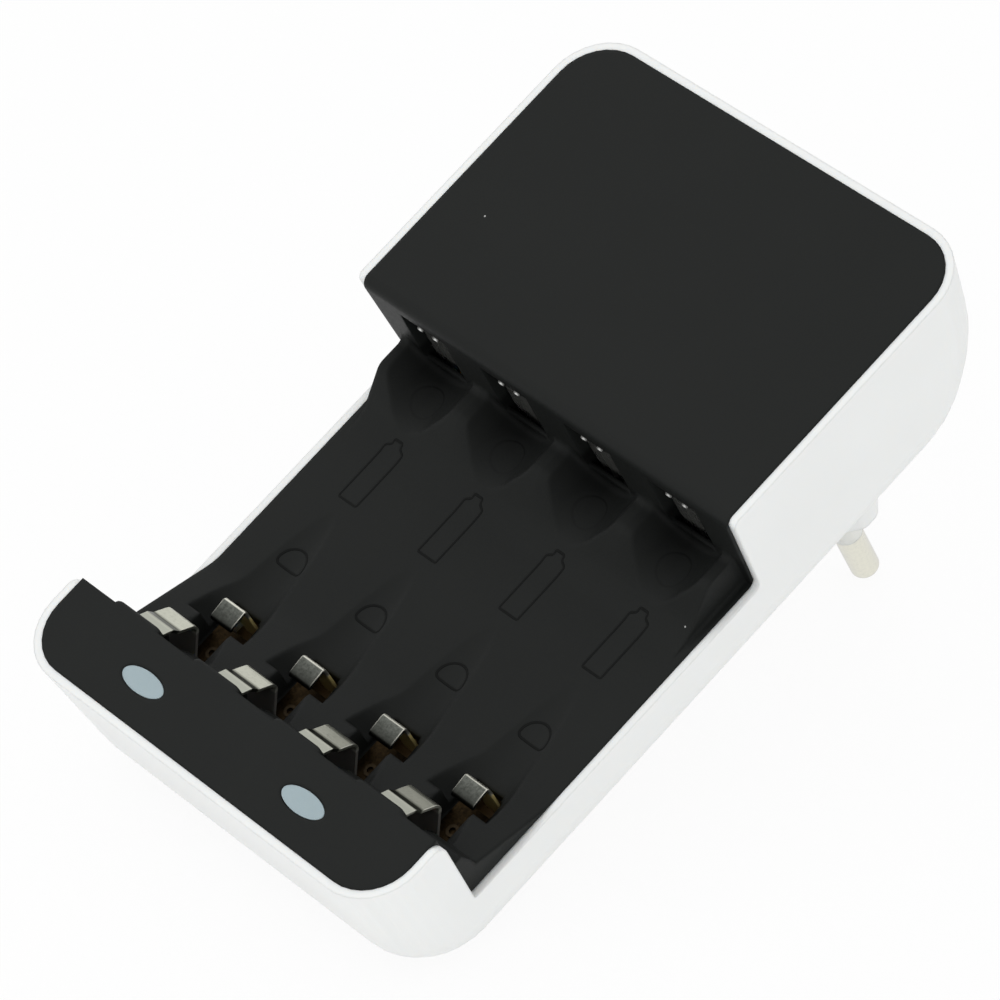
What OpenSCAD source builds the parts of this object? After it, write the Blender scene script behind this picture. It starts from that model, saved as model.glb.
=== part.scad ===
// Plug-in charger for four small round cells: a pale moulded case with a black cover that forms
// the cell bay, a lamp end with two oval windows, sprung cell contacts and a two-pin plug below.
// The origin is midway between the plug pins on the end face of the plug neck, +Z towards the
// cells and -Y towards the lamp end.

/* [Case] */
// Width across the top rim
body_w = 68.4; // [68:0.1:76]
// Height of the case without the plug neck
body_h = 27.2; // [27:0.1:32]
// Length of the block behind the cell bay
block_l = 45.8; // [45:0.1:60]
// Length of the lamp end
lamp_l = 12.5; // [11:0.1:16]
// Corner radius seen from above
corner_r = 8; // [6:0.5:9]
// Wall thickness of the case
wall = 2; // [1.8:0.1:2.4]
// Inward slope of the long sides in degrees
side_draft = 6; // [4:0.5:7]
// Inward slope of the plug end in degrees
tail_draft = 3.5; // [0:0.5:5]
// Inward slope of the lamp end in degrees
chin_draft = 3; // [0:0.5:4]
// Radius under the long sides
edge_r = 6.5; // [4:0.5:7]
// Radius of the chin under the lamp end
chin_r = 10.6; // [9:0.2:13]
// Radius under the plug end
tail_r = 17.2; // [12:0.2:18]
// Width of the pale rim round the black faces
rim = 1.1; // [0.9:0.1:1.4]

/* [Cells] */
// Diameter of the larger cell
cell_d = 14.5; // [13.5:0.1:15]
// Length of the larger cell
cell_l = 50.5; // [49:0.1:54]
// How much shorter the smaller cell is
small_cell_less = 6; // [5:0.1:7]
// Diameter of the smaller cell
small_cell_d = 10.5; // [9.5:0.1:11]
// Spacing of the cells
cell_pitch = 15.1; // [15.1:0.1:15.6]

/* [Cover] */
// Depth of the bay floor below the top
bay_depth = 15.5; // [14:0.1:16]
// Thickness of the cover
cover_t = 2; // [1.6:0.1:2.2]
// Height of the saddle shoulders above the bay floor
shoulder_h = 5; // [4.4:0.1:5.4]
// Height of the cell seats above the bay floor
seat_rise = 2.1; // [1.6:0.1:2.4]
// Step down of the lamp end below the block
lamp_drop = 0.5; // [0:0.1:1]
// Radius of the block's front top edge
brow_r = 1.4; // [0.8:0.1:1.8]
// Length of the oval lamp window
lens_l = 7.2; // [6:0.1:9]
// Width of the oval lamp window
lens_w = 3.1; // [2.6:0.1:4]
// Spacing of the two lamp windows
lens_pitch = 30; // [28:0.1:36]

/* [Contacts] */
// Thickness of the contact strip
leaf_t = 0.4; // [0.3:0.05:0.5]
// Width of the larger cell's leaf
leaf_w = 5; // [4:0.1:5.4]
// Width of the smaller cell's leaf
small_leaf_w = 3.9; // [3:0.1:4.4]
// How far a larger cell presses its leaf back
leaf_press = 2.5; // [1.6:0.1:2.6]
// How far a smaller cell presses its leaf back
small_leaf_press = 3; // [2:0.1:3.2]
// Depth of the positive contacts in the block
recess_d = 1.4; // [1.2:0.1:2]
// Width of the recesses for the positive contacts
recess_w = 8.2; // [7.6:0.1:9]

/* [Plug] */
// Height of the plug neck below the case
neck_h = 19.2; // [17:0.2:24]
// Long side of the plug neck
neck_w = 35.3; // [34:0.1:36]
// Short side of the plug neck
neck_d = 13.7; // [13:0.1:14.5]
// Pin diameter
pin_d = 4; // [3.8:0.1:4.4]
// Pin length in front of the neck
pin_l = 19; // [18:0.5:20]
// Pin spacing
pin_pitch = 18.6; // [18:0.1:19]
// Length of the insulating sleeve in front of the neck
sleeve_l = 10; // [8:0.5:11]
// Distance from the pins to the plug end of the case
pin_back = 21.5; // [20:0.1:24]

/* [Inside] */
// Thickness of the circuit board
board_t = 1.6; // [1.2:0.1:1.8]
// Height of the board above the case bottom
board_rise = 2; // [1.6:0.1:2.4]
// Width of the transformer core
core_w = 32; // [28:0.5:34]
// Length of the transformer core
core_l = 25; // [22:0.5:26]
// Height of the transformer core
core_h = 16; // [13:0.5:16.5]
// Shank diameter of the case screws
screw_d = 2.8; // [2.4:0.1:3]

/* [Hidden] */
$fn = 48;

cells = 4;
gap = 0.3;
cell_play = 1.1;
fit = 0.1;
eps = 0.01;
bay_l = cell_l + cell_play;
small_cell_l = cell_l - small_cell_less;
far_y = pin_back;
block_y = far_y - block_l;
lamp_y = block_y - bay_l;
near_y = lamp_y - lamp_l;
case_z = neck_h;
top_z = case_z + body_h;
floor_z = top_z - bay_depth;
axis_z = floor_z + seat_rise + cell_d / 2;
cap_z = top_z - cover_t;
lamp_top_z = top_z - lamp_drop;
lamp_cap_z = lamp_top_z - cover_t;
set_back = 0.4;
big = 200;

saddle_r = cell_d / 2 + gap / 2;
shoulder_x = cells * cell_pitch / 2 - 0.05;
shoulder_l = 4.7;
slope_l = 6;
shoulder_soft = 2.2;
foot_soft = 8;
wall_soft = 1.2;
seat_soft = 0.7;
ramp_soft = 8;
ramp_l = 14.8;
ramp_h = 4;
stop_l = 2.7;
stop_h = 7.9;
trough_r = small_cell_d / 2 + gap;
trough_tilt = 5.2;
trough_end_y = lamp_y + 7.7;
trough_wall_h = 3.6;
trough_wall_w = 2 * trough_r + 1.5;

positive_y = block_y + recess_d;
recess_top_z = cap_z - 0.6;
recess_low_z = floor_z + seat_rise + 1.5;
recess_lip = 0.6;
pocket_wall = 1.4;
pocket_w = recess_w + 2 * pocket_wall;
pocket_l = recess_d + leaf_t + gap + pocket_wall;
plate_w = recess_w - 0.8;

board_z = case_z + wall + board_rise;
board_top_z = board_z + board_t;
root_z = board_top_z + gap;
boss_top_z = board_z + board_t / 2;

base_z = floor_z - 1.5;
leaf_y = positive_y - cell_l + leaf_press;
nose_z = axis_z - 1.65;
nose_r = 1.3;
leaf_root_y = lamp_y + 1.8;
leaf_slot_w = leaf_w + 1;
small_leaf_y = positive_y - small_cell_l + small_leaf_press;
small_leaf_rise = 2.2;
small_leaf_top_l = 3.2;
small_leaf_dip = 0.25;
small_slot_w = small_leaf_w + 1;
small_leaf_swing = 2.3;

lens_y = near_y + rim + (lamp_l - rim) / 2 - 0.25;
screw_y_tail = far_y - tail_r - 2.3;
screw_x_tail = body_w / 2 - 10.2;
screw_y_bay = lamp_y + 31;
screw_x_bay = cell_pitch;
post_r = 3;
screw_seat = 3;
screw_bite = 3.5;
head_h = 1.8;
neck_wall = 2;
neck_end = 4;
neck_bevel = 5.6;
neck_soft = 2;
pin_tail_z = 9;
sleeve_wall = 0.5;
pin_relief = 0.6;
pin_rod_d = pin_d - 1.6;
sleeve_root_d = pin_rod_d + 2 * sleeve_wall;

lens_flange = 0.8;
lamp_r = 2.5;
lamp_h = 5;
core_y = block_y + pocket_l + 0.8;
core_leg = core_w / 5.4;
core_mid = core_leg / 1.2;
can_r = 4;
can_h = 12;
can_y = core_y + can_r + 1;
diode_r = 1.35;
diode_l = 5;
diode_pitch = 3.6;
diode_y = can_y + can_r + diode_r + gap;

function cell_x(i) = (i - (cells + 1) / 2) * cell_pitch;
function side_x(s) = s * pin_pitch / 2;
function unit(v) = v / norm(v);
function round_in(d, r) = d >= r ? 0 : r - sqrt(r * r - (r - d) * (r - d));

// Points on an arc about c from angle a to angle b
function arc(c, r, a, b, n = 6) =
    [for (i = [0 : n]) c + r * [cos(a + (b - a) * i / n), sin(a + (b - a) * i / n)]];

// Points of an arc of radius r that rounds the corner b between the edges to a and to c
function rounded(a, b, c, r, n = 6) = let (
    u = unit(a - b),
    v = unit(c - b),
    half = acos(u * v) / 2,
    m = b + unit(u + v) * r / sin(half),
    p = b + u * r / tan(half) - m,
    q = b + v * r / tan(half) - m,
    turn = atan2(p.x * q.y - p.y * q.x, p * q),
    start = atan2(p.y, p.x))
    arc(m, r, start, start + turn, n);

// Normal of a path at point i, lengthened at the bends so that a strip keeps its thickness
function path_normal(p, i) = let (
    last = len(p) - 1,
    a = unit(i > 0 ? p[i] - p[i - 1] : p[1] - p[0]),
    b = unit(i < last ? p[i + 1] - p[i] : p[last] - p[last - 1]),
    m = unit(a + b))
    [-m.y, m.x] / (m * a);

// Outline of a bent strip of thickness t along a path
function strip(p, t) = concat(
    [for (i = [0 : len(p) - 1]) p[i] + path_normal(p, i) * t / 2],
    [for (i = [len(p) - 1 : -1 : 0]) p[i] - path_normal(p, i) * t / 2]);

// Extrudes a side profile of (y, z) points across x, centred at x
module across(x, w) {
    translate([x, 0, 0]) rotate([90, 0, 90]) linear_extrude(height = w, center = true) children();
}

// Box between two corners
module box(a, b) {
    translate(a) cube(b - a);
}

// Four corner posts of one level of the case form
module form_level(z, inset) {
    low = case_z + inset;
    d = z - low;
    r = corner_r - inset;
    x = body_w / 2 - inset - (top_z - z) * tan(side_draft) - round_in(d, edge_r - inset) - r;
    front = near_y + inset + (top_z - z) * tan(chin_draft) + round_in(d, chin_r - inset) + r;
    back = far_y - inset - (top_z - z) * tan(tail_draft) - round_in(d, tail_r - inset) - r;
    for (sx = [-1, 1])
        for (y = [front, back])
            translate([sx * x, y, z]) cylinder(r = r, h = eps, $fn = 32);
}

// Case form drawn in by an inset: levels follow the rounded ends up to the straight walls
module form(inset, over = 0) {
    low = case_z + inset;
    steps = 14;
    hull() {
        for (i = [0 : steps])
            form_level(low + (tail_r - inset) * (1 - cos(90 * i / steps)), inset);
        form_level(top_z + over, inset);
    }
}

// Fillet between two edges that meet at the origin and run to +x and +y
module fillet(r) {
    difference() {
        translate([-eps, -eps]) square(r + eps);
        translate([r, r]) circle(r);
    }
}

// Side view of the bay opening through the case, with its rounded shoulders and inner corners
module bay_notch() {
    inner = block_y + set_back;
    inner_r = 1.2;
    lamp_round = 1.8;
    block_round = 1;
    difference() {
        translate([lamp_y, floor_z]) square([inner - lamp_y, big]);
        translate([lamp_y, floor_z]) fillet(inner_r / 2);
        translate([inner, floor_z]) mirror([1, 0]) fillet(inner_r);
    }
    translate([lamp_y, lamp_top_z]) mirror([1, 0]) mirror([0, 1]) fillet(lamp_round);
    translate([inner, top_z]) mirror([0, 1]) fillet(block_round);
    translate([near_y - big, lamp_top_z]) square([lamp_y - near_y + big, big]);
}

// Outline of the plug neck: a flat-sided oval with cut corners
module neck_outline(inset = 0) {
    offset(r = neck_soft) offset(delta = -neck_soft - inset) difference() {
        square([neck_w, neck_d], center = true);
        for (sx = [-1, 1])
            for (sy = [-1, 1])
                translate([sx * neck_w / 2, sy * neck_d / 2])
                    rotate(45) square(neck_bevel * sqrt(2), center = true);
    }
}

// Places of the case screws
module at_screws() {
    for (sx = [-1, 1]) {
        translate([sx * screw_x_tail, screw_y_tail, 0]) children();
        translate([sx * screw_x_bay, screw_y_bay, 0]) children();
    }
}

module lower_case() {
    color([0.91, 0.92, 0.92]) difference() {
        union() {
            difference() {
                form(0);
                form(wall, 1);
                // Seat of the cover's top plates inside the rim
                intersection() {
                    form(rim, 1);
                    union() {
                        box([-big, block_y, cap_z], [big, big, big]);
                        box([-big, lamp_y - cover_t, floor_z - cover_t], [big, block_y + cover_t, big]);
                        box([-big, -big, lamp_cap_z], [big, lamp_y, big]);
                    }
                }
                across(0, big) bay_notch();
            }
            linear_extrude(height = case_z + wall) neck_outline();
            at_screws() translate([0, 0, case_z + wall / 2])
                cylinder(r = post_r + 1, h = boss_top_z - case_z - wall / 2);
            // Pads that carry the board
            for (sx = [-1, 1])
                for (y = [lamp_y + 8, block_y - 4])
                    translate([sx * (core_w / 2 + 6), y, case_z + wall / 2])
                        cylinder(r = 2, h = board_z - case_z - wall / 2);
        }
        translate([0, 0, neck_end]) linear_extrude(height = case_z + wall - neck_end + eps)
            neck_outline(neck_wall);
        for (s = [-1, 1])
            translate([side_x(s), 0, -1]) {
                cylinder(d = sleeve_root_d, h = neck_end + 2);
                cylinder(d = pin_d + 2 * gap, h = 1 + pin_relief);
            }
        at_screws() {
            translate([0, 0, case_z - 1]) cylinder(d = screw_d + 0.6, h = big);
            translate([0, 0, case_z - 1]) cylinder(r = post_r, h = 1 + screw_seat);
        }
    }
}

// Side view of the bay floor: flat, with a ramp and a stop at the lamp end
module floor_profile() {
    low = floor_z - cover_t;
    back = [block_y + cover_t, floor_z];
    ramp_foot = [lamp_y + ramp_l, floor_z];
    ramp_top = [lamp_y + stop_l, floor_z + ramp_h];
    polygon(concat(
        [[lamp_y - cover_t, low], [back.x, low], back],
        rounded(back, ramp_foot, ramp_top, ramp_soft),
        [ramp_top,
         [lamp_y + stop_l - 0.4, floor_z + ramp_h + 1.8],
         [lamp_y + stop_l - 1.2, floor_z + stop_h],
         [lamp_y - cover_t, floor_z + stop_h]]));
}

// Side view of the shoulder that carries the cells at the block
module shoulder_profile() {
    corner = [block_y, floor_z + shoulder_h];
    edge = corner - [shoulder_l, 0];
    foot = [edge.x - slope_l, floor_z];
    front = foot - [foot_soft, 0];
    polygon(concat(
        [[foot.x, floor_z - cover_t / 2], [block_y + cover_t, floor_z - cover_t / 2],
         [block_y + cover_t, corner.y + wall_soft]],
        arc(corner + [-wall_soft, wall_soft], wall_soft, 0, -90),
        rounded(corner, edge, foot, shoulder_soft),
        rounded(edge, foot, front, foot_soft)));
}

// Round cut of length l along y with a rounded far end
module cell_cut(r, l, soft) {
    rotate([-90, 0, 0]) rotate_extrude() {
        square([r - soft, l]);
        square([r, l - soft]);
        translate([r - soft, l - soft]) circle(soft);
    }
}

module top_cover() {
    color([0.16, 0.16, 0.16]) difference() {
        union() {
            intersection() {
                form(rim);
                union() {
                    box([-big, block_y, cap_z], [big, big, big]);
                    box([-big, block_y, floor_z - cover_t], [big, block_y + cover_t, big]);
                    box([-big, -big, lamp_cap_z], [big, lamp_y, lamp_top_z]);
                    box([-big, lamp_y - cover_t, floor_z - cover_t], [big, lamp_y, lamp_top_z]);
                    across(0, big) floor_profile();
                    across(0, 2 * shoulder_x) shoulder_profile();
                }
            }
            for (i = [1 : cells]) translate([cell_x(i), 0, 0]) {
                box([-pocket_w / 2, block_y, floor_z - cover_t],
                    [pocket_w / 2, block_y + pocket_l, cap_z + cover_t / 2]);
                box([-trough_wall_w / 2, lamp_y - cover_t, floor_z - trough_wall_h],
                    [trough_wall_w / 2, lamp_y + ramp_l + 4, floor_z - cover_t / 2]);
            }
            at_screws() translate([0, 0, boss_top_z + gap])
                cylinder(r = post_r, h = (floor_z - cover_t / 2) - boss_top_z - gap);
            for (sx = [-1, 1]) translate([sx * screw_x_tail, screw_y_tail, floor_z - cover_t])
                cylinder(r = post_r, h = cap_z + cover_t / 2 - floor_z + cover_t);
        }
        // Rounded front edge of the block
        across(0, big) translate([block_y + brow_r, top_z - brow_r]) difference() {
            translate([-brow_r - 1, 0]) square(brow_r + 1);
            circle(brow_r);
        }
        for (i = [1 : cells]) translate([cell_x(i), 0, 0]) {
            // Seats of the larger cell
            translate([0, lamp_y + stop_l, axis_z]) cell_cut(saddle_r, bay_l - stop_l, seat_soft);
            // Sloping trough of the smaller cell, which leans on the larger cell's seat
            intersection() {
                translate([0, block_y, floor_z + seat_rise + trough_r])
                    rotate([90 + trough_tilt, 0, 0]) cylinder(r = trough_r, h = bay_l);
                box([-big, trough_end_y, 0], [big, block_y - seat_soft, big]);
            }
            // Bed of the contact's base plate
            box([-leaf_slot_w / 2, lamp_y - cover_t - 1, base_z - leaf_t],
                [leaf_slot_w / 2, small_leaf_y, floor_z + stop_h + 1]);
            // Way for the larger cell's leaf through the lamp end's wall
            box([-leaf_slot_w / 2, lamp_y - cover_t - 1, floor_z - trough_wall_h - 1],
                [leaf_slot_w / 2, leaf_root_y + leaf_t / 2 + gap, lamp_cap_z]);
            // Slot for the smaller cell's leaf
            box([-small_slot_w / 2, small_leaf_y - small_leaf_swing, floor_z - trough_wall_h - 1],
                [small_slot_w / 2, small_leaf_y + 0.7, floor_z]);
            // Recess of the positive contact and the slot behind its lip
            box([-recess_w / 2, block_y - eps, recess_low_z],
                [recess_w / 2, positive_y + leaf_t + gap, recess_top_z]);
            box([-plate_w / 2 - gap, block_y + recess_lip, floor_z - cover_t - 1],
                [plate_w / 2 + gap, positive_y + leaf_t + gap, axis_z]);
        }
        for (s = [-1, 1]) translate([s * lens_pitch / 2, lens_y, lamp_cap_z - 1])
            lens_oval(lens_l + 2 * fit, lens_w + 2 * fit, cover_t + 2);
        at_screws() translate([0, 0, boss_top_z - 1]) cylinder(d = screw_d, h = 1 + screw_bite + 1);
    }
}

// Upright prism on an ellipse
module lens_oval(l, w, h) {
    linear_extrude(height = h)
        polygon([for (a = [0 : 6 : 354]) [l / 2 * cos(a), w / 2 * sin(a)]]);
}

// Window with its flange under the cover
module lens(s) {
    color([0.80, 0.86, 0.90]) translate([s * lens_pitch / 2, lens_y, 0]) {
        translate([0, 0, lamp_cap_z - lens_flange])
            lens_oval(lens_l + 2 * lens_flange, lens_w + 2 * lens_flange, lens_flange);
        translate([0, 0, lamp_cap_z - eps]) lens_oval(lens_l, lens_w, cover_t + eps - 0.05);
    }
}

// Round lamp on two bent legs that stand on the board
module lamp(s) {
    dome_z = lamp_cap_z - lens_flange - gap - lamp_r;
    foot_z = dome_z - lamp_h;
    leg = 0.5;
    leg_gap = 2.54;
    bend_z = floor_z - trough_wall_h - leg - gap;
    leg_y = lamp_y - cover_t + leg;
    color([0.85, 0.88, 0.86]) translate([s * lens_pitch / 2, 0, 0]) {
        translate([0, lens_y, dome_z]) sphere(lamp_r);
        translate([0, lens_y, foot_z]) cylinder(r = lamp_r, h = lamp_h);
        translate([0, lens_y, foot_z]) cylinder(r = lamp_r + 0.4, h = 1);
        for (t = [-1, 1]) across(t * leg_gap / 2, leg) polygon(strip([
            [lens_y, foot_z + leg], [lens_y, bend_z], [leg_y, bend_z - leg],
            [leg_y, board_top_z]], leg));
    }
}

// Path of the larger cell's leaf: up past the base plate, out to a nose that meets the cell, then
// back over a step to a lip under the lamp end's edge
function leaf_path() = concat(
    [[leaf_root_y, root_z], [leaf_root_y, floor_z + 2.5]],
    arc([leaf_y - nose_r, nose_z], nose_r - leaf_t / 2, -50, 55),
    [[lamp_y + 2.64, nose_z + 2.2], [lamp_y + 2.1, nose_z + 3.2], [lamp_y - 0.2, nose_z + 4.65]]);

module aa_leaf(i) {
    color([0.80, 0.78, 0.73]) across(cell_x(i), leaf_w) polygon(strip(leaf_path(), leaf_t));
}

// Path of the smaller cell's leaf: a post that folds back over its top and curls down at the end
function small_leaf_path() = let (top = floor_z + small_leaf_rise - leaf_t / 2, r = 0.4, end_r = 0.6) concat(
    [[small_leaf_y - leaf_t / 2, root_z]],
    arc([small_leaf_y - leaf_t / 2 - r, top - r], r, 0, 90),
    arc([small_leaf_y - small_leaf_top_l + end_r, top - small_leaf_dip - end_r], end_r, 95, 160, 4));

module aaa_leaf(i) {
    color([0.80, 0.78, 0.73]) across(cell_x(i), small_leaf_w)
        polygon(strip(small_leaf_path(), leaf_t));
}

// Base plate between the two leaves of a negative contact, riveted to the cover
module contact_base(i) {
    rivet_r = 0.9;
    color([0.62, 0.50, 0.38]) translate([cell_x(i), 0, 0]) {
        box([-leaf_w / 2, leaf_root_y + leaf_t / 2 + gap, base_z - leaf_t],
            [leaf_w / 2, small_leaf_y - small_leaf_swing, base_z]);
        translate([0, leaf_root_y + 3.4, base_z - eps]) difference() {
            cylinder(r = rivet_r, h = 0.4);
            cylinder(r = rivet_r / 2, h = 1);
        }
    }
}

// Flat plate in the block's recess with two curled fingers at its top
module positive_contact(i) {
    finger_w = 1;
    finger_pitch = 2.84;
    mid = positive_y + leaf_t / 2;
    plate_top_z = recess_top_z - 2.4;
    curl_r = 0.7;
    color([0.80, 0.78, 0.73]) {
        across(cell_x(i), plate_w) polygon(strip([[mid, board_top_z], [mid, plate_top_z]], leaf_t));
        for (s = [-1, 1]) across(cell_x(i) + s * finger_pitch / 2, finger_w)
            polygon(strip(concat([[mid, plate_top_z - eps]],
                arc([mid - curl_r, plate_top_z + 0.3], curl_r, 0, 150)), leaf_t));
    }
}

// Plug pin: plain tip, thinner rod through the sleeve and a tail in the neck
module plug_pin(s) {
    tip_r = 1;
    color([0.78, 0.77, 0.72]) translate([side_x(s), 0, 0]) rotate_extrude() {
        translate([0, -pin_l + tip_r]) square([pin_d / 2, pin_l - sleeve_l - tip_r]);
        translate([0, -pin_l]) square([pin_d / 2 - tip_r, tip_r + eps]);
        intersection() {
            translate([pin_d / 2 - tip_r, -pin_l + tip_r]) circle(tip_r);
            translate([0, -pin_l]) square([pin_d / 2, tip_r + eps]);
        }
        translate([0, -sleeve_l - eps]) square([pin_rod_d / 2, sleeve_l + pin_tail_z]);
    }
}

// Sleeve flush with the pin's tip, with a thinner root held in the neck
module pin_sleeve(s) {
    color([0.92, 0.92, 0.90]) translate([side_x(s), 0, -sleeve_l]) difference() {
        union() {
            cylinder(d = pin_d, h = sleeve_l);
            cylinder(d = sleeve_root_d, h = sleeve_l + neck_end);
        }
        translate([0, 0, -1]) cylinder(d = pin_rod_d, h = sleeve_l + neck_end + 2);
    }
}

module mains_lead(s) {
    lead_d = 1.8;
    color([0.45, 0.25, 0.15]) translate([side_x(s), 0, pin_tail_z - eps])
        cylinder(d = lead_d, h = board_z - pin_tail_z + eps);
}

module circuit_board() {
    edge = 1.2;
    front = lamp_y - 2.6;
    back = block_y + pocket_l + core_l + 1.6;
    half = body_w / 2 - 8.4;
    color([0.13, 0.36, 0.20]) difference() {
        box([-half, front, board_z], [half, back, board_top_z]);
        at_screws() translate([0, 0, board_z - 1]) cylinder(r = post_r + 1 + gap, h = board_t + 2);
        for (sx = [-1, 1]) translate([sx * half, front, board_z - 1]) rotate(45)
            cube([2 * edge, 2 * edge, 2 * board_t + 4], center = true);
    }
}

// Laminated core with the two windows that hold the coil
module transformer_core() {
    color([0.42, 0.43, 0.45]) difference() {
        box([-core_w / 2, core_y, board_top_z], [core_w / 2, core_y + core_l, board_top_z + core_h]);
        for (s = [0, 1]) mirror([s, 0, 0])
            box([core_mid, core_y + core_leg, board_top_z - 1],
                [core_w / 2 - core_leg, core_y + core_l - core_leg, board_top_z + core_h + 1]);
    }
}

// Coil on its bobbin round the middle leg
module transformer_coil() {
    half = core_w / 2 - core_leg - gap;
    color([0.62, 0.32, 0.16]) difference() {
        box([-half, core_y + core_leg + gap, board_top_z],
            [half, core_y + core_l - core_leg - gap, board_top_z + core_h - 0.6]);
        box([-core_mid - fit, core_y, board_top_z - 1],
            [core_mid + fit, core_y + core_l, board_top_z + core_h]);
    }
}

module smoothing_capacitors() {
    color([0.12, 0.14, 0.20]) for (sx = [-1, 1])
        translate([sx * (core_w / 2 + can_r + 0.8), can_y, board_top_z]) {
            cylinder(r = can_r, h = can_h - 0.6);
            cylinder(r = can_r - 0.6, h = can_h);
        }
}

module charge_controller() {
    color([0.10, 0.10, 0.11]) {
        box([-2.5, screw_y_bay - 3, board_top_z + 0.15], [2.5, screw_y_bay + 3, board_top_z + 1.6]);
        for (sx = [-1, 1])
            for (k = [-1.5 : 1 : 1.5])
                box([sx * 3 - 0.6, screw_y_bay + k * 1.27 - 0.2, board_top_z],
                    [sx * 3 + 0.6, screw_y_bay + k * 1.27 + 0.2, board_top_z + 0.6]);
    }
}

module rectifier_diodes() {
    color([0.10, 0.10, 0.11]) for (sx = [-1, 1])
        for (k = [0, 1])
            translate([sx * (core_w / 2 + can_r + 0.8), diode_y + k * diode_pitch, board_top_z + diode_r])
                rotate([0, 90, 0]) cylinder(r = diode_r, h = diode_l, center = true);
}

module case_screws() {
    color([0.70, 0.70, 0.70]) at_screws() translate([0, 0, case_z + screw_seat]) difference() {
        union() {
            translate([0, 0, -head_h]) cylinder(r = post_r - gap, h = head_h);
            translate([0, 0, -eps]) cylinder(d = screw_d, h = boss_top_z - case_z - screw_seat + screw_bite);
        }
        for (a = [0, 90]) rotate(a) translate([0, 0, -head_h])
            cube([3, 0.7, 1.6], center = true);
    }
}

lower_case();
top_cover();
lens(-1);  // lens_left
lens(1);  // lens_right
lamp(-1);  // lamp_left
lamp(1);  // lamp_right
aa_leaf(1);  // aa_leaf_1
aa_leaf(2);  // aa_leaf_2
aa_leaf(3);  // aa_leaf_3
aa_leaf(4);  // aa_leaf_4
aaa_leaf(1);  // aaa_leaf_1
aaa_leaf(2);  // aaa_leaf_2
aaa_leaf(3);  // aaa_leaf_3
aaa_leaf(4);  // aaa_leaf_4
contact_base(1);  // contact_base_1
contact_base(2);  // contact_base_2
contact_base(3);  // contact_base_3
contact_base(4);  // contact_base_4
positive_contact(1);  // positive_contact_1
positive_contact(2);  // positive_contact_2
positive_contact(3);  // positive_contact_3
positive_contact(4);  // positive_contact_4
plug_pin(-1);  // plug_pin_left
plug_pin(1);  // plug_pin_right
pin_sleeve(-1);  // pin_sleeve_left
pin_sleeve(1);  // pin_sleeve_right
mains_lead(-1);  // mains_lead_left
mains_lead(1);  // mains_lead_right
circuit_board();
transformer_core();
transformer_coil();
smoothing_capacitors();
charge_controller();
rectifier_diodes();
case_screws();
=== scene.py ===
import math

import bmesh
import bpy
from mathutils import Matrix, Vector
from mathutils.bvhtree import BVHTree


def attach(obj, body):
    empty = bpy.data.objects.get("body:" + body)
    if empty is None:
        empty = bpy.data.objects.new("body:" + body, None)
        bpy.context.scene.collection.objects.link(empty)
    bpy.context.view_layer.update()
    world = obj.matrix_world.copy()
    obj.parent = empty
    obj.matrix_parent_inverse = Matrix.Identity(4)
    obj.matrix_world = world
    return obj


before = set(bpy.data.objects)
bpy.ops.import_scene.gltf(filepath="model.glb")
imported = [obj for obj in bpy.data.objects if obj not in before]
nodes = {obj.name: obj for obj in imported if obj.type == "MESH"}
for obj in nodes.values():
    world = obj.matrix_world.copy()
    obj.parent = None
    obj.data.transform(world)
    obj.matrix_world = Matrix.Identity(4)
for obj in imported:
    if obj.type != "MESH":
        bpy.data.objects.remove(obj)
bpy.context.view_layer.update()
scene = bpy.context.scene
mm = 0.001
cellPitch = 15.1
cellPlaces = [(i - 1.5) * cellPitch for i in range(4)]
print("frame loaded")

# Camera, from the fit of the straight edges
view = {
    "place": (0.421688, -0.184048, 0.609716),
    "right": (0.671426, 0.667691, -0.321521),
    "up": (-0.460063, 0.715683, 0.525490),
    "back": (0.580972, -0.204908, 0.787708),
    "lens": 211.633, "sensor": 36, "near": 0.05, "far": 20,
}
camera = bpy.data.objects.new("camera", bpy.data.cameras.new("camera"))
scene.collection.objects.link(camera)
viewAxes = Matrix([view["right"], view["up"], view["back"]]).transposed().to_4x4()
camera.matrix_world = Matrix.Translation(view["place"]) @ viewAxes
camera.data.sensor_width = view["sensor"]
camera.data.lens = view["lens"]
camera.data.clip_start = view["near"]
camera.data.clip_end = view["far"]
scene.camera = camera
scene.view_settings.view_transform = "Standard"
print("camera set")

edgeSamples = 6


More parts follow.
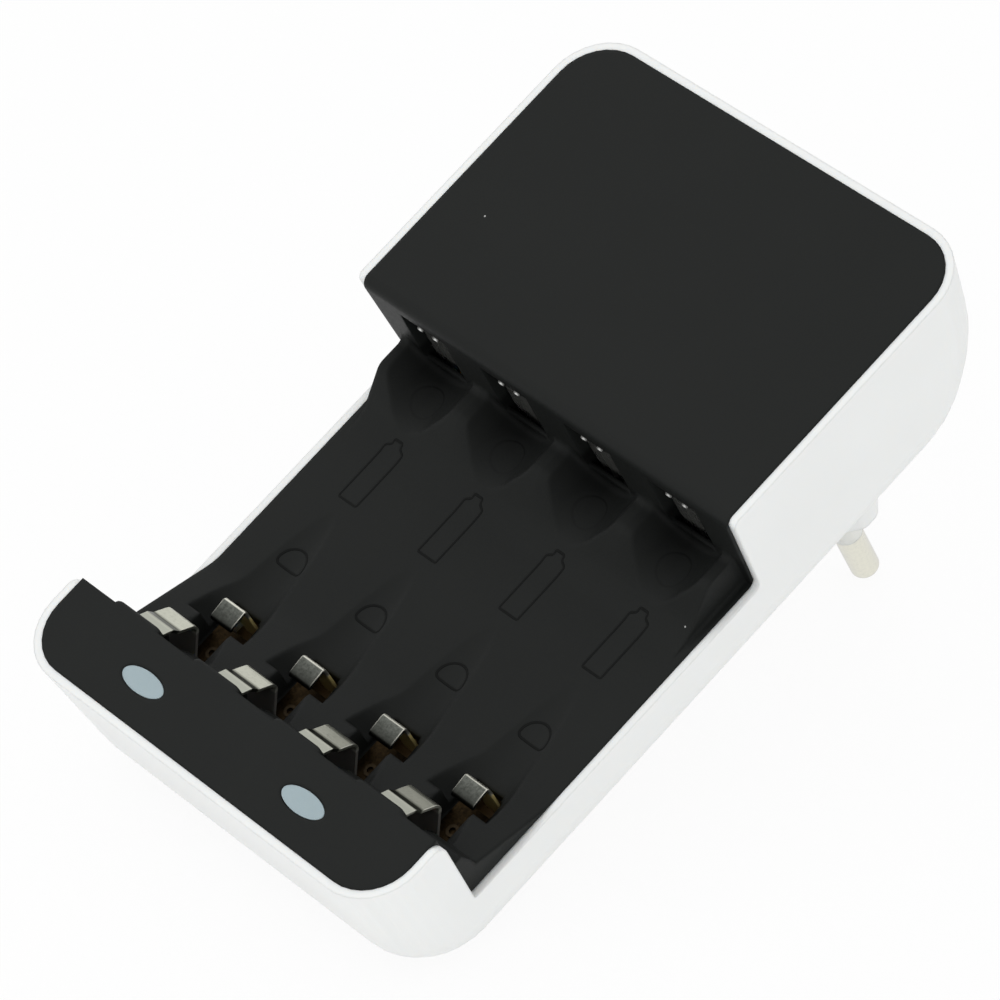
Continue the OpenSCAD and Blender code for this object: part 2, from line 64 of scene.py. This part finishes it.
class Graph:
    # Makes shader nodes and joins their sockets
    def __init__(self, tree):
        self.tree = tree

    def add(self, kind, values=None, **settings):
        made = self.tree.nodes.new(kind)
        for name, value in settings.items():
            setattr(made, name, value)
        for name, value in (values or {}).items():
            self.put(made.inputs[name], value)
        return made

    def put(self, socket, value):
        if isinstance(value, bpy.types.NodeSocket):
            self.tree.links.new(value, socket)
        else:
            socket.default_value = value

    def putAll(self, made, values):
        for socket, value in zip(made.inputs, values):
            self.put(socket, value)
        return made.outputs

    def math(self, operation, *values):
        return self.putAll(self.add("ShaderNodeMath", operation=operation), values)[0]

    def vector(self, operation, *values):
        return self.putAll(self.add("ShaderNodeVectorMath", operation=operation), values)

    def spread(self, value, low, high, start=0.0, end=1.0):
        made = self.add("ShaderNodeMapRange", {"Value": value, "From Min": low, "From Max": high,
                                               "To Min": start, "To Max": end})
        return made.outputs[0]

    def mix(self, factor, a, b):
        made = self.add("ShaderNodeMix", {0: factor}, data_type="RGBA")
        self.put(made.inputs[6], a)
        self.put(made.inputs[7], b)
        return made.outputs[2]

    def noise(self, place, scale, detail=2.0, rough=0.5):
        made = self.add("ShaderNodeTexNoise", {"Vector": place, "Scale": scale, "Detail": detail,
                                               "Roughness": rough})
        return made.outputs[0]

    def bump(self, strength, reach, height, normal):
        made = self.add("ShaderNodeBump", {"Strength": strength, "Distance": reach, "Height": height,
                                           "Normal": normal})
        return made.outputs[0]

    def softEdge(self, radius):
        return self.add("ShaderNodeBevel", {"Radius": radius}, samples=edgeSamples).outputs[0]

    def group(self, tree, values=None):
        return self.add("ShaderNodeGroup", values, node_tree=tree).outputs

    def place(self):
        return self.add("ShaderNodeTexCoord").outputs["Object"]

    def axes(self):
        return self.add("ShaderNodeSeparateXYZ", {"Vector": self.place()}).outputs

    # Sideways place within one cell's share of the bay
    def cellSide(self, x, pitch):
        half = self.math("MULTIPLY", pitch, 0.5)
        return self.math("WRAP", self.math("ADD", x, half), half, self.math("MULTIPLY", half, -1.0))

    # Distance of a point in a plane from the edge of a circle
    def circleGap(self, a, b, radius):
        flat = self.add("ShaderNodeCombineXYZ", {"X": a, "Y": b}).outputs[0]
        return self.math("SUBTRACT", self.vector("LENGTH", flat)["Value"], radius)


def newGroup(name, inputs, outputs):
    tree = bpy.data.node_groups.new(name, "ShaderNodeTree")
    for label, value in inputs.items():
        kind = "NodeSocketVector" if isinstance(value, tuple) else "NodeSocketFloat"
        tree.interface.new_socket(label, in_out="INPUT", socket_type=kind).default_value = value
    for label in outputs:
        kind = "NodeSocketVector" if label == "Normal" else "NodeSocketFloat"
        tree.interface.new_socket(label, in_out="OUTPUT", socket_type=kind)
    graph = Graph(tree)
    return graph, graph.add("NodeGroupInput").outputs, graph.add("NodeGroupOutput").inputs


# Moulded grain: a fine bump, a slow change of tone and the softened edges of moulded parts
grainInputs = {"Scale": 3000.0, "Depth": 0.1, "Edge": 0.0003}
grainSizes = {"grainDetail": (3.0, 0.6), "toneScale": 70.0, "toneDetail": (2.0, 0.5), "height": 0.0001}


def makeGrain():
    g, given, made = newGroup("mouldedGrain", grainInputs, ("Tone", "Grain", "Normal"))
    place = g.place()
    grain = g.noise(place, given["Scale"], *grainSizes["grainDetail"])
    edge = g.softEdge(given["Edge"])
    g.put(made["Tone"], g.noise(place, grainSizes["toneScale"], *grainSizes["toneDetail"]))
    g.put(made["Grain"], grain)
    g.put(made["Normal"], g.bump(given["Depth"], grainSizes["height"], grain, edge))
    return g.tree


# Dust: a few pale specks scattered in space
dustInputs = {"Scale": 260.0, "Share": 0.03}
dustSizes = {"speck": (0.02, 0.065)}
dustColor = (0.42, 0.42, 0.41, 1)


def makeDust():
    g, given, made = newGroup("dust", dustInputs, ("Speck",))
    cell = g.add("ShaderNodeTexVoronoi", {"Vector": g.place(), "Scale": given["Scale"], "Randomness": 1.0})
    pick = g.add("ShaderNodeSeparateColor", {"Color": cell.outputs["Color"]}).outputs
    chosen = g.math("LESS_THAN", pick[0], given["Share"])
    size = g.spread(pick[1], 0.0, 1.0, *dustSizes["speck"])
    near = g.math("LESS_THAN", cell.outputs["Distance"], size)
    g.put(made["Speck"], g.math("MULTIPLY", chosen, near))
    return g.tree


# Cell seats: a mask of painted shade in the hollows near the block, the flat round in each of them, and
# painted shade along the round's rim
seatInputs = {"Pitch": cellPitch * mm, "Middle": -0.0288, "Radius": 0.0023}
seatSizes = {"top": (0.0370, 0.0360), "aside": 0.0020, "width": (0.0064, 0.0014), "least": 0.18,
             "length": (-0.0330, -0.0258), "soft": 0.0001, "rim": (0.00025, 0.00005)}
seatShares = {"HollowShade": 0.75, "RimShade": 0.45, "gloss": 0.3, "strength": 0.5, "height": 0.00006}


def makeSeat():
    g, given, made = newGroup("cellSeat", seatInputs, ("HollowShade", "Round", "RimShade"))
    axes = g.axes()
    across = g.cellSide(axes["X"], given["Pitch"])
    low = g.spread(axes["Z"], *seatSizes["top"])
    away = g.math("ABSOLUTE", g.math("ADD", across, seatSizes["aside"]))
    wide = g.spread(away, *seatSizes["width"], seatSizes["least"], 1.0)
    deep = g.spread(axes["Y"], *seatSizes["length"])
    # Painted shade in the hollows, darker towards the wall and towards each cell's middle
    g.put(made["HollowShade"], g.math("MULTIPLY", low, g.math("MULTIPLY", wide, deep)))
    along = g.math("SUBTRACT", axes["Y"], given["Middle"])
    gap = g.circleGap(across, along, given["Radius"])
    inside = g.spread(gap, seatSizes["soft"], -seatSizes["soft"])
    g.put(made["Round"], g.math("MULTIPLY", low, inside))
    # Painted shade: a thin darker ring along the edge of the flat round
    rim = g.spread(g.math("ABSOLUTE", gap), *seatSizes["rim"])
    g.put(made["RimShade"], g.math("MULTIPLY", low, rim))
    return g.tree


# Drawn metal: streaks along one direction, spots, softened edges and a mask of the edges that get a painted
# highlight
metalInputs = {"Along": (1.0, 1.0, 1.0), "Depth": 0.1, "Edge": 0.0001}
metalSizes = {"streakScale": 2600.0, "streakDetail": (3.0, 0.6), "spotScale": 2300.0,
              "spotDetail": (4.0, 0.7), "height": 0.00005, "cut": (0.99, 0.86)}


def makeMetal():
    g, given, made = newGroup("drawnMetal", metalInputs, ("Streak", "Spot", "Edge", "Normal"))
    place = g.place()
    drawn = g.vector("MULTIPLY", place, given["Along"])[0]
    streak = g.noise(drawn, metalSizes["streakScale"], *metalSizes["streakDetail"])
    edge = g.softEdge(given["Edge"])
    facing = g.add("ShaderNodeNewGeometry").outputs["Normal"]
    flat = g.vector("DOT_PRODUCT", edge, facing)["Value"]
    g.put(made["Streak"], streak)
    g.put(made["Spot"], g.noise(place, metalSizes["spotScale"], *metalSizes["spotDetail"]))
    # Edge: a mask of the edges, where the colour gets a painted highlight
    g.put(made["Edge"], g.spread(flat, *metalSizes["cut"]))
    g.put(made["Normal"], g.bump(given["Depth"], metalSizes["height"], streak, edge))
    return g.tree


# Painted glints: a mask of the two small rounds on each recess contact that are painted bright as
# highlights
glintInputs = {"Pitch": cellPitch * mm, "Apart": 0.00142, "Height": 0.0420, "Radius": 0.00033}
glintSoft = 0.00012


def makeGlint():
    g, given, made = newGroup("rubbedPoint", glintInputs, ("Point",))
    axes = g.axes()
    side = g.math("ABSOLUTE", g.cellSide(axes["X"], given["Pitch"]))
    across = g.math("SUBTRACT", side, given["Apart"])
    up = g.math("SUBTRACT", axes["Z"], given["Height"])
    gap = g.circleGap(across, up, given["Radius"])
    g.put(made["Point"], g.spread(gap, glintSoft, -glintSoft))
    return g.tree


grainGroup = makeGrain()
dustGroup = makeDust()
seatGroup = makeSeat()
metalGroup = makeMetal()
glintGroup = makeGlint()

noiseRange = (0.2, 0.8)
plasticSizes = {"ior": 1.49, "gloss": 0.5, "lightShare": 0.35, "lightColor": (1.0, 0.9, 0.8)}
metalBands = {"flankBlend": 0.3, "flankPower": 2.0, "stepCore": 0.6, "legSoft": 0.0003}


def newMaterial(name):
    material = bpy.data.materials.new(name)
    material.use_nodes = True
    material.node_tree.nodes.clear()
    return material, Graph(material.node_tree)


def showSurface(g, values):
    shader = g.add("ShaderNodeBsdfPrincipled", values)
    g.add("ShaderNodeOutputMaterial", {"Surface": shader.outputs[0]})


# Plastic with a moulded grain, two tones of one colour, and optional dust and painted shade in the cell
# seats
def plastic(name, look):
    material, g = newMaterial(name)
    grain = g.group(grainGroup, {"Scale": look["scale"], "Depth": look["depth"], "Edge": look["edge"]})
    color = g.mix(grain["Tone"], look["dark"], look["light"])
    rough = g.spread(grain["Grain"], *noiseRange, *look["rough"])
    normal = grain["Normal"]
    gloss = look.get("gloss", plasticSizes["gloss"])
    if "dust" in look:
        dust = g.group(dustGroup, {"Scale": look["dustScale"], "Share": look["dust"]})
        color = g.mix(dust["Speck"], color, dustColor)
    if "hollowShade" in look:
        seat = g.group(seatGroup)
        # Painted shade in the cell seats and along the rim of each flat round
        for mask in ("HollowShade", "RimShade"):
            color = g.mix(g.math("MULTIPLY", seat[mask], seatShares[mask]), color, look["hollowShade"])
        gloss = g.spread(seat["HollowShade"], 0.0, 1.0, gloss, gloss * seatShares["gloss"])
        normal = g.bump(seatShares["strength"], seatShares["height"], seat["Round"], normal)
    values = {"Base Color": color, "Roughness": rough, "Normal": normal, "IOR": plasticSizes["ior"],
              "Specular IOR Level": gloss}
    if "depthOfLight" in look:
        values["Subsurface Weight"] = plasticSizes["lightShare"]
        values["Subsurface Radius"] = plasticSizes["lightColor"]
        values["Subsurface Scale"] = look["depthOfLight"]
    showSurface(g, values)
    return material


# Plated or bare metal with streaks and spots, and a painted highlight along its edges. Optional bands of
# another colour: painted shade on the flanks, painted glints, an end that fades into painted shade, a
# painted highlight on a fold, a lip of another tone, painted shade along a step and a leg of its own colour
def metal(name, look):
    material, g = newMaterial(name)
    drawn = g.group(metalGroup, {"Along": look["along"], "Depth": look["depth"], "Edge": look["edge"]})
    color = g.mix(g.spread(drawn["Spot"], *look["spots"]), look["light"], look["dark"])
    # Painted highlight along the edges
    color = g.mix(drawn["Edge"], color, look["cut"])
    rough = g.spread(drawn["Streak"], *noiseRange, *look["rough"])
    metallic = look.get("metal", 1.0)
    axes = g.axes()
    # Painted shade on the flanks, darker where the surface is seen edge-on
    if "flankShade" in look:
        facing = g.add("ShaderNodeLayerWeight", {"Blend": metalBands["flankBlend"]}).outputs["Facing"]
        color = g.mix(g.math("POWER", facing, metalBands["flankPower"]), color, look["flankShade"])
    if "rub" in look:
        # Painted glints on the recess contacts
        color = g.mix(g.group(glintGroup)["Point"], color, look["rub"])
    # fade paints shade towards an end, fold paints a highlight, and lip gives a lip another tone: darker
    # painted shade on the leaf contacts
    for axis, band, other in (("Y", "fade", "shade"), ("Y", "fold", "cut"), ("Z", "lipFrom", "lip")):
        if band in look:
            color = g.mix(g.spread(axes[axis], *look[band]), color, look[other])
    # Painted shade along a step
    if "step" in look:
        middle, reach = look["step"]
        away = g.math("ABSOLUTE", g.math("SUBTRACT", axes["Z"], middle))
        color = g.mix(g.spread(away, reach, reach * metalBands["stepCore"]), color, look["shade"])
    if "leg" in look:
        top, soft = look["legTop"], metalBands["legSoft"]
        low = g.spread(axes["Z"], top + soft, top - soft)
        color = g.mix(low, color, look["leg"])
        metallic = g.spread(low, 0.0, 1.0, metallic, look["legMetal"])
    showSurface(g, {"Base Color": color, "Roughness": rough, "Metallic": metallic,
                    "Normal": drawn["Normal"]})
    return material


looks = {
    "caseWhite": {"dark": (0.82, 0.825, 0.82, 1), "light": (0.86, 0.865, 0.86, 1), "rough": (0.34, 0.46),
                  "scale": 2400.0, "depth": 0.08, "edge": 0.0005, "gloss": 0.4, "depthOfLight": 0.0012},
    # coverBlack's hollow colour is the painted shade in the cell seats
    "coverBlack": {"dark": (0.0106, 0.0116, 0.0110, 1), "light": (0.0125, 0.0136, 0.0129, 1),
                   "rough": (0.44, 0.58), "scale": 3600.0, "depth": 0.22, "edge": 0.0008, "gloss": 0.12,
                   "hollowShade": (0.0028, 0.0030, 0.0029, 1), "dust": 0.03, "dustScale": 310.0},
    # mark: a darker colour on the raised marks that paints the shade of a moulded groove
    "mark": {"dark": (0.0058, 0.0063, 0.0060, 1), "light": (0.0072, 0.0078, 0.0074, 1),
             "rough": (0.45, 0.60), "scale": 3600.0, "depth": 0.1, "edge": 0.00005, "gloss": 0.08},
    "window": {"dark": (0.320, 0.397, 0.425, 1), "light": (0.372, 0.454, 0.487, 1), "rough": (0.30, 0.40),
               "scale": 5200.0, "depth": 0.10, "edge": 0.0001, "gloss": 0.3, "depthOfLight": 0.0008},
    "lamp": {"dark": (0.55, 0.60, 0.56, 1), "light": (0.72, 0.76, 0.70, 1), "rough": (0.12, 0.22),
             "scale": 900.0, "depth": 0.03, "edge": 0.0001, "depthOfLight": 0.001},
    "sleeve": {"dark": (0.74, 0.74, 0.70, 1), "light": (0.80, 0.80, 0.77, 1), "rough": (0.32, 0.44),
               "scale": 2600.0, "depth": 0.06, "edge": 0.0002, "depthOfLight": 0.0008},
    "lead": {"dark": (0.16, 0.06, 0.03, 1), "light": (0.24, 0.09, 0.05, 1), "rough": (0.35, 0.5),
             "scale": 1800.0, "depth": 0.05, "edge": 0.0001},
    "board": {"dark": (0.13, 0.075, 0.028, 1), "light": (0.19, 0.115, 0.045, 1), "rough": (0.35, 0.55),
              "scale": 900.0, "depth": 0.10, "edge": 0.0001, "gloss": 0.3},
    "coil": {"dark": (0.20, 0.05, 0.015, 1), "light": (0.38, 0.13, 0.04, 1), "rough": (0.25, 0.5),
             "scale": 1500.0, "depth": 0.25, "edge": 0.0002},
    "capacitor": {"dark": (0.008, 0.010, 0.022, 1), "light": (0.015, 0.02, 0.045, 1), "rough": (0.2, 0.35),
                  "scale": 1200.0, "depth": 0.04, "edge": 0.0002},
    "chip": {"dark": (0.008, 0.008, 0.009, 1), "light": (0.016, 0.016, 0.018, 1), "rough": (0.4, 0.6),
             "scale": 2800.0, "depth": 0.12, "edge": 0.0001},
    # contact: the lip's darker tone and the step's shade colour are painted shade
    "contact": {"light": (0.54, 0.545, 0.463, 1), "dark": (0.43, 0.435, 0.368, 1), "spots": (0.50, 0.80),
                "cut": (0.74, 0.74, 0.66, 1), "rough": (0.26, 0.36), "along": (0.08, 1.0, 1.0),
                "depth": 0.10, "edge": 0.00012, "leg": (0.100, 0.095, 0.088, 1), "legTop": 0.0381,
                "legMetal": 0.4, "step": (0.04135, 0.00070), "shade": (0.055, 0.058, 0.045, 1),
                "lip": (0.42, 0.43, 0.37, 1), "lipFrom": (0.0419, 0.0422)},
    # smallContact: the plate's dark colours are painted shade of a contact low in its trough, fade is
    # painted shade towards the plate's end and fold a painted highlight; the brass leg is its own colour
    "smallContact": {"light": (0.13, 0.136, 0.122, 1), "dark": (0.060, 0.064, 0.056, 1),
                     "spots": (0.36, 0.68), "cut": (0.80, 0.79, 0.70, 1), "rough": (0.26, 0.40),
                     "along": (0.08, 1.0, 1.0), "depth": 0.14, "edge": 0.00026,
                     "leg": (0.62, 0.50, 0.20, 1), "legTop": 0.0316, "legMetal": 0.35,
                     "fade": (-0.0652, -0.0676), "shade": (0.022, 0.023, 0.020, 1),
                     "fold": (-0.0649, -0.0647)},
    # recessContact: the contact's colours darkened as painted shade of the recess, with painted glints
    "recessContact": {"light": (0.13, 0.13, 0.125, 1), "dark": (0.07, 0.07, 0.066, 1),
                      "spots": (0.50, 0.76), "cut": (0.16, 0.16, 0.155, 1), "rough": (0.22, 0.36),
                      "along": (1.0, 1.0, 0.1), "depth": 0.12, "edge": 0.00012,
                      "leg": (0.165, 0.167, 0.158, 1), "legTop": 0.0412, "legMetal": 0.7, "metal": 0.7,
                      "rub": (0.90, 0.90, 0.88, 1)},
    # base: colours darkened as painted shade of a plate under the leaves; the band above a height is paler
    "base": {"light": (0.026, 0.017, 0.008, 1), "dark": (0.010, 0.007, 0.004, 1), "spots": (0.40, 0.66),
             "cut": (0.045, 0.032, 0.018, 1), "rough": (0.30, 0.5), "along": (1.0, 0.1, 1.0),
             "depth": 0.15, "edge": 0.00008, "lip": (0.030, 0.022, 0.013, 1), "lipFrom": (0.0295, 0.0297)},
    # pin: flank colour is painted shade towards the outline
    "pin": {"light": (0.81, 0.795, 0.69, 1), "dark": (0.72, 0.71, 0.625, 1), "spots": (0.44, 0.80),
            "cut": (0.80, 0.79, 0.74, 1), "rough": (0.24, 0.38), "along": (1.0, 1.0, 0.08),
            "depth": 0.10, "edge": 0.0002, "flankShade": (0.50, 0.50, 0.51, 1)},
    "core": {"light": (0.30, 0.30, 0.31, 1), "dark": (0.14, 0.14, 0.15, 1), "spots": (0.45, 0.7),
             "cut": (0.40, 0.40, 0.41, 1), "rough": (0.35, 0.55), "along": (0.05, 0.05, 1.0),
             "depth": 0.3, "edge": 0.0001},
    "screw": {"light": (0.55, 0.55, 0.54, 1), "dark": (0.28, 0.28, 0.27, 1), "spots": (0.5, 0.72),
              "cut": (0.70, 0.70, 0.69, 1), "rough": (0.25, 0.42), "along": (1.0, 1.0, 0.2),
              "depth": 0.1, "edge": 0.0001},
}
metals = ("contact", "smallContact", "recessContact", "base", "pin", "core", "screw")
materials = {name: (metal if name in metals else plastic)(name, look) for name, look in looks.items()}

finishes = [
    ("lower_case", "caseWhite"), ("top_cover", "coverBlack"), ("lens_", "window"), ("lamp_", "lamp"),
    ("aa_leaf_", "contact"), ("aaa_leaf_", "smallContact"), ("contact_base_", "base"),
    ("positive_contact_", "recessContact"), ("plug_pin_", "pin"), ("pin_sleeve_", "sleeve"),
    ("mains_lead_", "lead"), ("circuit_board", "board"), ("transformer_core", "core"),
    ("transformer_coil", "coil"), ("smoothing_capacitors", "capacitor"), ("charge_controller", "chip"),
    ("rectifier_diodes", "chip"), ("case_screws", "screw"),
]
for name, node in nodes.items():
    finish = next(look for start, look in finishes if name.startswith(start))
    node.data.materials.clear()
    node.data.materials.append(materials[finish])
print("materials made")


def addMesh(name, shape, material, body="charger"):
    mesh = bpy.data.meshes.new(name)
    bmesh.ops.recalc_face_normals(shape, faces=shape.faces)
    shape.to_mesh(mesh)
    shape.free()
    piece = bpy.data.objects.new(name, mesh)
    scene.collection.objects.link(piece)
    mesh.materials.append(material)
    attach(piece, body)
    return piece


# Skin between neighbouring rows of points, each row a closed section
def addSkin(shape, pairs):
    for a, b in pairs:
        for k in range(len(a)):
            after = (k + 1) % len(a)
            shape.faces.new((a[k], a[after], b[after], b[k]))


# Height of the bay's surface in millimetres, from a ray cast down onto the cover
aboveCover = 60.0
coverMesh = nodes["top_cover"].data
coverTree = BVHTree.FromPolygons([v.co.copy() for v in coverMesh.vertices],
                                 [tuple(p.vertices) for p in coverMesh.polygons])


def bayHeight(x, y):
    hit = coverTree.ray_cast(Vector((x, y, aboveCover)) * mm, Vector((0, 0, -1)))[0]
    return hit.z / mm


# Marks in the bay: outlines of a cell and of a cell's end, in millimetres. The section's points are
# shares of the line's width and height
marks = {"cellLength": 9.4, "cellWidth": 3.3, "cellMiddle": -40.2, "cellRound": 0.3, "shoulder": 0.5,
         "nubWidth": 1.5, "nubLength": 0.7, "endWidth": 4.3, "endLength": 3.1, "endMiddle": -54.9,
         "endRound": 0.6, "line": 0.34, "height": 0.05,
         "section": ((-0.5, -0.02), (-0.28, 1.0), (0.28, 1.0), (0.5, -0.02)),
         "turnSteps": 4, "flatSteps": 8, "archSteps": 16, "spacing": 0.4, "mostRound": 0.45}


# Low bead along a closed outline, which follows the bay's surface
def addBead(shape, place, line):
    rings = []
    for i, point in enumerate(line):
        before = line[i - 1]
        after = line[(i + 1) % len(line)]
        ahead = Vector((after[0] - before[0], after[1] - before[1])).normalized()
        side = Vector((-ahead.y, ahead.x))
        ring = []
        for across, up in marks["section"]:
            x = point[0] + side.x * across * marks["line"]
            y = point[1] + side.y * across * marks["line"]
            z = bayHeight(place + x, y) + up * marks["height"]
            ring.append(shape.verts.new(Vector((place + x, y, z)) * mm))
        rings.append(ring)
    addSkin(shape, zip(rings, rings[1:] + rings[:1]))


# Closed outline with rounded corners and evenly spaced points between them
def roundedLine(corners, radius):
    line = []
    for i, corner in enumerate(corners):
        b = Vector(corner)
        a = Vector(corners[i - 1])
        c = Vector(corners[(i + 1) % len(corners)])
        u = (a - b).normalized()
        v = (c - b).normalized()
        r = min(radius, (a - b).length * marks["mostRound"], (c - b).length * marks["mostRound"])
        for k in range(marks["turnSteps"] + 1):
            t = k / marks["turnSteps"]
            line.append((b + u * r * (1 - t) ** 2 + v * r * t ** 2).to_tuple())
        start = b + v * r
        span = (c - start).length
        for k in range(1, int(span / marks["spacing"])):
            line.append(start.lerp(c, k * marks["spacing"] / span).to_tuple())
    return line


def cellOutline():
    w = marks["cellWidth"] / 2
    n = marks["nubWidth"] / 2
    low = marks["cellMiddle"] - marks["cellLength"] / 2
    high = marks["cellMiddle"] + marks["cellLength"] / 2
    neck = high - marks["shoulder"]
    tip = high + marks["nubLength"]
    corners = [(-w, low), (w, low), (w, neck), (n, high), (n, tip), (-n, tip), (-n, high), (-w, neck)]
    return roundedLine(corners, marks["cellRound"])


# A flat side with rounded corners under an arch
def endOutline():
    w = marks["endWidth"] / 2
    r = marks["endRound"]
    y = marks["endMiddle"] - marks["endLength"] / 2
    rise = marks["endLength"] - r
    turn = [math.pi / 2 * k / marks["turnSteps"] for k in range(marks["turnSteps"] + 1)]
    flat = [k / marks["flatSteps"] for k in range(1, marks["flatSteps"])]
    arch = [math.pi * k / marks["archSteps"] for k in range(1, marks["archSteps"])]
    line = [(-w + r - r * math.cos(a), y + r - r * math.sin(a)) for a in turn]
    line += [(-w + r + (2 * w - 2 * r) * t, y) for t in flat]
    line += [(w - r + r * math.sin(a), y + r - r * math.cos(a)) for a in turn]
    line += [(w * math.cos(a), y + r + rise * math.sin(a)) for a in arch]
    return line


def makeMarks():
    outlines = (cellOutline(), endOutline())
    for i, place in enumerate(cellPlaces, 1):
        shape = bmesh.new()
        for line in outlines:
            addBead(shape, place, line)
        # The marks' darker colour is painted shade of a moulded groove
        addMesh("bay_marks_%d" % i, shape, materials["mark"])


makeMarks()
print("marks made")

# Rounded hoods of the lamp face over the leaves, in millimetres. Each runs into the face, so that no
# seam shows
hood = {"end": -75.9, "top": 45.9, "reach": 0.65, "half": 4.3, "taper": 1.1, "back": 2.4, "round": 0.4,
        "thick": 1.6, "tilt": 0.02, "level": 0.9, "sink": 0.1, "inner": -0.2, "thinShare": 0.4,
        "turnSteps": 6, "taperSteps": 3}


# Section of a hood, from the back over the rounded edge to the underside
def hoodSection():
    reach = hood["reach"]
    r = hood["round"]
    line = [(y, hood["tilt"] * (y + hood["level"])) for y in (-hood["back"], reach - r)]
    edge = line[1][1]
    turn = [math.pi / 2 * k / hood["turnSteps"] for k in range(1, hood["turnSteps"] + 1)]
    line += [(reach - r + r * math.sin(a), edge - r + r * math.cos(a)) for a in turn]
    line += [(reach, -hood["thick"]), (hood["inner"], -hood["thick"])]
    line.append((-hood["back"], -hood["thick"] * hood["thinShare"]))
    return line


# Places along a hood, with the share of its reach at each: both ends taper off
def hoodProfile():
    steps = [-1 + k / hood["taperSteps"] for k in range(hood["taperSteps"] + 1)]
    line = [(-hood["half"] + (1 + s) * hood["taper"], math.sqrt(1 - s * s)) for s in steps]
    return line + [(-x, share) for x, share in reversed(line)]


def makeHoods():
    section = hoodSection()
    profile = hoodProfile()
    for i, place in enumerate(cellPlaces, 1):
        shape = bmesh.new()
        rows = []
        for x, share in profile:
            inward = 1 - share
            y0 = hood["end"] - inward * (hood["reach"] + hood["sink"])
            z0 = hood["top"] - inward * hood["sink"]
            rows.append([shape.verts.new(Vector((place + x, y0 + y, z0 + z)) * mm) for y, z in section])
        addSkin(shape, zip(rows, rows[1:]))
        for row in (rows[0], rows[-1]):
            shape.faces.new(row)
        addMesh("leaf_hood_%d" % i, shape, materials["coverBlack"])


makeHoods()
print("hoods made")

# Floor under the pin tips and the chin. It is seen from above only, nearly white, and keeps a faint shadow
ground = {"tips": (0, 0, -0.0192), "chin": (0, -0.0830, 0.0208), "size": 3.0, "drop": 0.0002,
          "dark": (0.90, 0.90, 0.90, 1), "light": (0.93, 0.93, 0.93, 1), "toneScale": 6.0, "rough": 0.9,
          "gloss": 0.1, "glow": 0.91}


def floorMaterial():
    material, g = newMaterial("floor")
    color = g.mix(g.noise(g.place(), ground["toneScale"]), ground["dark"], ground["light"])
    shader = g.add("ShaderNodeBsdfPrincipled", {"Base Color": color, "Roughness": ground["rough"],
                                                "Specular IOR Level": ground["gloss"]})
    glow = g.add("ShaderNodeEmission", {"Color": (1, 1, 1, 1), "Strength": 1.0})
    clear = g.add("ShaderNodeBsdfTransparent")
    path = g.add("ShaderNodeLightPath").outputs
    direct = g.math("MAXIMUM", path["Is Camera Ray"], path["Is Glossy Ray"])
    share = g.math("MULTIPLY", direct, ground["glow"])
    seen = g.add("ShaderNodeMixShader", {0: share, 1: shader.outputs[0], 2: glow.outputs[0]})
    behind = g.add("ShaderNodeNewGeometry").outputs["Backfacing"]
    sides = g.add("ShaderNodeMixShader", {0: behind, 1: seen.outputs[0], 2: clear.outputs[0]})
    g.add("ShaderNodeOutputMaterial", {"Surface": sides.outputs[0]})
    return material


def makeStage():
    tips = Vector(ground["tips"])
    chin = Vector(ground["chin"])
    side = Vector((1, 0, 0))
    along = (tips - chin).normalized()
    up = side.cross(along).normalized()
    middle = (tips + chin) / 2 - up * ground["drop"]
    size = ground["size"]
    shape = bmesh.new()
    corners = [middle + side * a * size + along * b * size for a, b in ((-1, -1), (1, -1), (1, 1), (-1, 1))]
    shape.faces.new([shape.verts.new(c) for c in corners])
    mesh = bpy.data.meshes.new("floor")
    shape.to_mesh(mesh)
    shape.free()
    floor = bpy.data.objects.new("floor", mesh)
    scene.collection.objects.link(floor)
    mesh.materials.append(floorMaterial())


# Surrounding: plain white where it is seen, and a soft even light
surround = {"seen": (1, 1, 1, 1), "light": (0.99, 1.0, 0.995, 1), "power": 0.96}


def makeWorld():
    world = bpy.data.worlds.new("world")
    scene.world = world
    world.use_nodes = True
    world.node_tree.nodes.clear()
    g = Graph(world.node_tree)
    path = g.add("ShaderNodeLightPath").outputs
    seen = g.math("MAXIMUM", path["Is Camera Ray"], path["Is Transmission Ray"])
    seen = g.math("MAXIMUM", seen, path["Is Glossy Ray"])
    plain = g.add("ShaderNodeBackground", {"Color": surround["seen"], "Strength": 1.0})
    light = g.add("ShaderNodeBackground", {"Color": surround["light"], "Strength": surround["power"]})
    both = g.add("ShaderNodeMixShader", {0: seen, 1: light.outputs[0], 2: plain.outputs[0]})
    g.add("ShaderNodeOutputWorld", {"Surface": both.outputs[0]})


# Area lamps: a high one behind, a near one over the lamp end and one at the side
lights = {
    "keyLight": {"place": (-0.55, 0.40, 0.80), "target": (0, -0.03, 0.03), "size": (0.7, 0.7),
                 "power": 0.2},
    "nearLight": {"place": (-0.10, -0.05, 0.33), "target": (0.01, -0.07, 0.035), "size": (0.16, 0.16),
                  "power": 0.035},
    "sideLight": {"place": (0.42, -0.50, 0.22), "target": (0, -0.03, 0.03), "size": (0.5, 0.4),
                  "power": 0.9},
}


def addLamp(name, light):
    data = bpy.data.lights.new(name, "AREA")
    data.shape = "RECTANGLE"
    data.size, data.size_y = light["size"]
    data.energy = light["power"]
    lamp = bpy.data.objects.new(name, data)
    scene.collection.objects.link(lamp)
    lamp.location = light["place"]
    lamp.rotation_mode = "QUATERNION"
    lamp.rotation_quaternion = (Vector(light["target"]) - Vector(light["place"])).to_track_quat("-Z", "Y")


makeStage()
makeWorld()
for name, light in lights.items():
    addLamp(name, light)
print("stage set")
